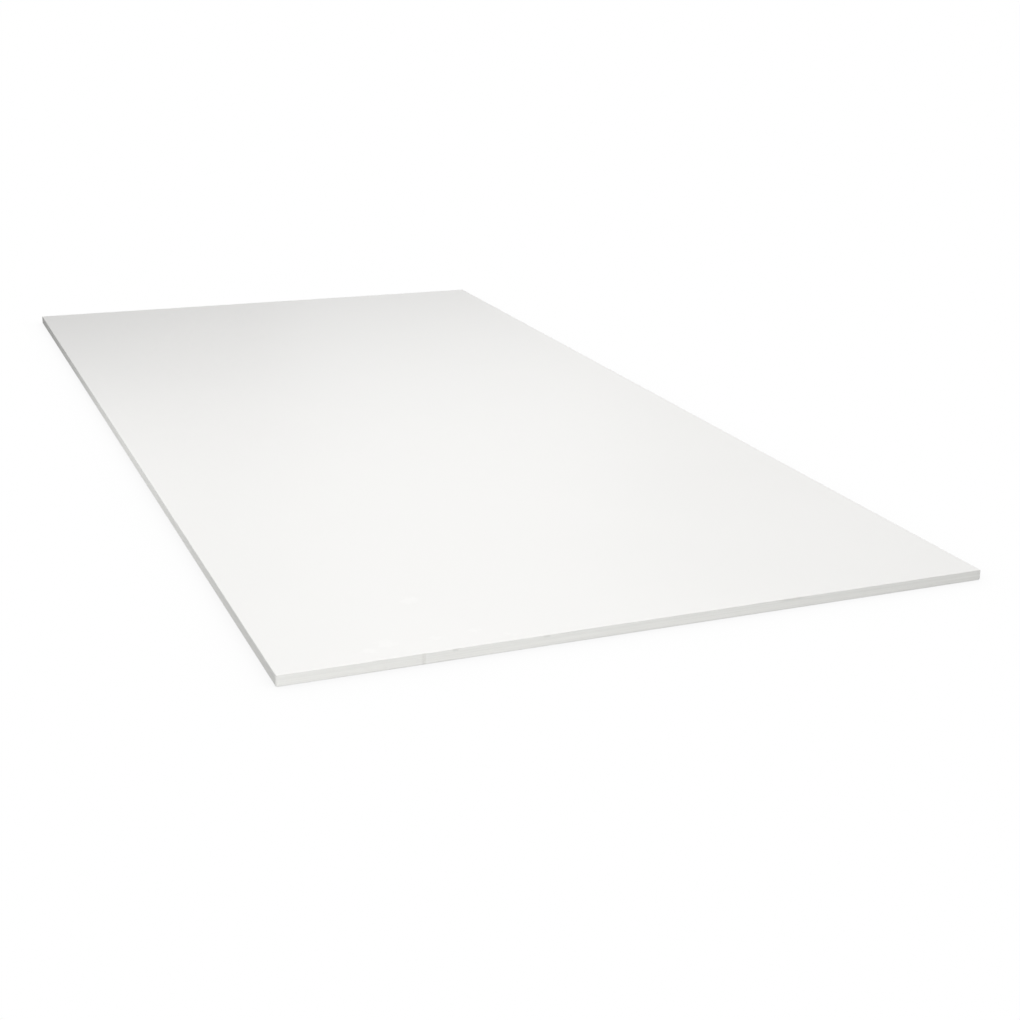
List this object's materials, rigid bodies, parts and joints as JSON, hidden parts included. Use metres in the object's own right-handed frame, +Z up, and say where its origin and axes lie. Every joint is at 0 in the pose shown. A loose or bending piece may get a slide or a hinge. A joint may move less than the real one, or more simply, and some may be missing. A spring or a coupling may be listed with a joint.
{
  "type": "plywood sheet",
  "caption": "Flat rectangular plywood sheet, white-finished on faces and edges, with sanded arrises and eased corners; raw stock for lining, shelving, flooring and cutting to size.",
  "frame": {"origin": "middle of the underside, on the surface that the sheet lies on", "axes": "+X across the width, +Y along the length, +Z up through the thickness"},
  "size_m": [1.22, 2.44, 0.018],
  "materials": {
    "white_finish": "smooth satin white coating on both faces and on the edges"
  },
  "bodies": {
    "root": {"sheet": "white_finish"}
  },
  "joints": []
}
